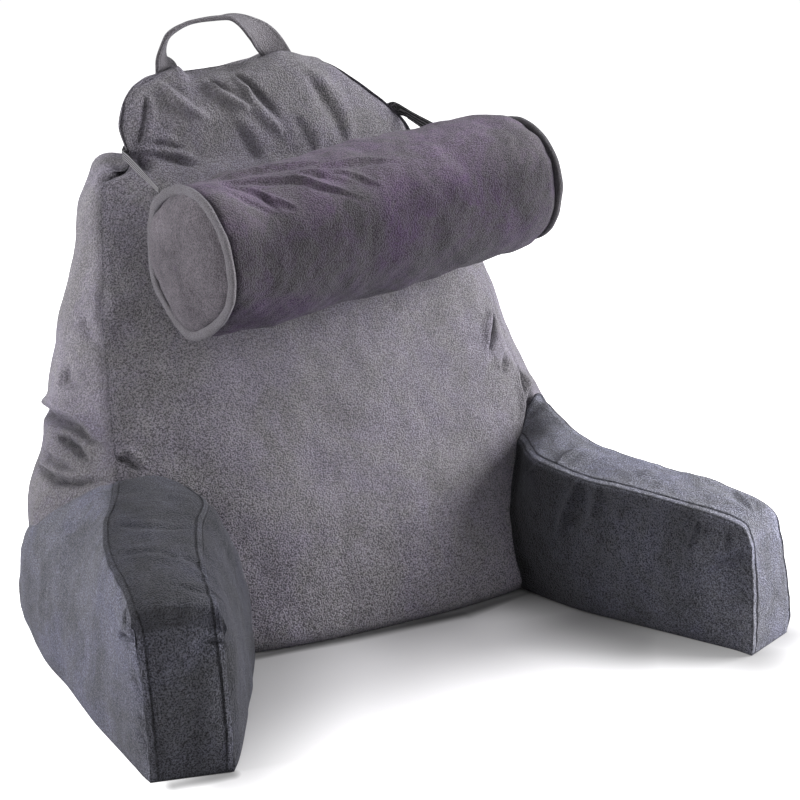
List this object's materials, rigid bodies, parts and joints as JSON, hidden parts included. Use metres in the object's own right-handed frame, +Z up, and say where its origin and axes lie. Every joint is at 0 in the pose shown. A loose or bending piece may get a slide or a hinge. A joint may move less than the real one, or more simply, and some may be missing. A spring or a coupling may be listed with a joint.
{
  "type": "reading pillow with arms",
  "caption": "Stuffed backrest pillow with two arms, a neck roll hung on an elastic strap and a carry handle.",
  "frame": {"origin": "on the flat base of the backrest, on the middle line between the arms, 0.13 m behind the base's front edge", "axes": "+Z up, +X to the right of someone facing the pillow, the arms point toward -Y"},
  "size_m": [0.6645, 0.5453, 0.5518],
  "materials": {
    "plush_face": "short-pile plush, mid grey, soft sheen",
    "plush_arm": "short-pile plush, blue-grey where the pile lies away",
    "plush_roll": "short-pile plush, purple-grey below",
    "plush_edge": "folded plush edge, mid grey",
    "elastic": "ribbed woven elastic, dark grey"
  },
  "bodies": {
    "root": {"backrest": "plush_face", "arm_left": "plush_arm", "arm_right": "plush_arm", "neck_roll": "plush_roll", "roll_welt_left": "plush_edge", "roll_welt_right": "plush_edge", "handle": "plush_edge", "neck_strap": "elastic"}
  },
  "joints": []
}
